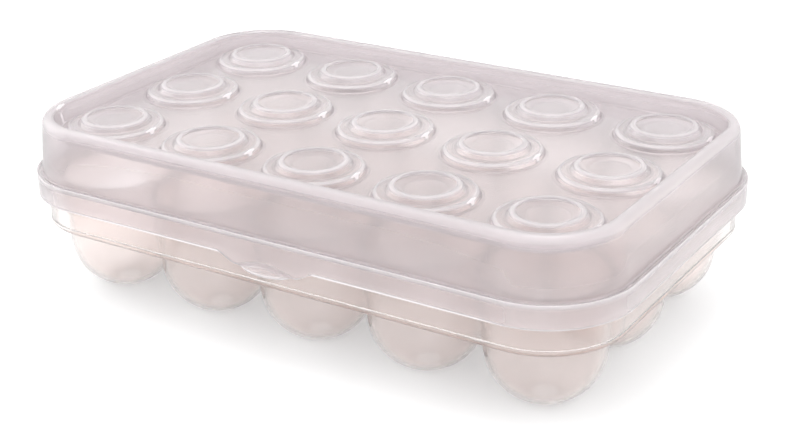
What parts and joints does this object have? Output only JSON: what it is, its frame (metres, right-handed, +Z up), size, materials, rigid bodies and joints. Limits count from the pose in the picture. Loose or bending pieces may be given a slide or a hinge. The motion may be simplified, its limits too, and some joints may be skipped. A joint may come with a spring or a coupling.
{
  "type": "egg keeper",
  "caption": "Low rectangular egg keeper: a moulded tray of round cups under a hinged, stackable flip lid with a thumb tab.",
  "frame": {"origin": "middle of the flat foot of the middle cup, level with the surface that the keeper stands on", "axes": "+X along the long side, -Y towards the thumb tab at the front, +Y towards the hinge at the back, +Z up"},
  "size_m": [0.247, 0.1639, 0.0699],
  "materials": {
    "tray_plastic": "translucent near-white polypropylene, smooth, faint rose cast",
    "lid_plastic": "frosted translucent near-white polypropylene, fine moulded grain, faint lilac cast"
  },
  "bodies": {
    "tray": {"cup_01": "tray_plastic", "cup_02": "tray_plastic", "cup_03": "tray_plastic", "cup_04": "tray_plastic", "cup_05": "tray_plastic", "cup_06": "tray_plastic", "cup_07": "tray_plastic", "cup_08": "tray_plastic", "cup_09": "tray_plastic", "cup_10": "tray_plastic", "cup_11": "tray_plastic", "cup_12": "tray_plastic", "cup_13": "tray_plastic", "cup_14": "tray_plastic", "cup_15": "tray_plastic", "tray_rim": "tray_plastic", "hinge_ears_left": "tray_plastic", "hinge_ears_right": "tray_plastic"},
    "lid": {"lid_wall": "lid_plastic", "lid_panel": "lid_plastic", "thumb_tab": "lid_plastic", "hinge_knuckle_left": "lid_plastic", "hinge_knuckle_right": "lid_plastic"}
  },
  "joints": [
    {"name": "lid_hinge", "type": "hinge", "parent": "tray", "child": "lid", "pos_m": [0, 0.0783, 0.0359], "axis": [-1, 0, 0], "range_deg": [0, 110]}
  ]
}
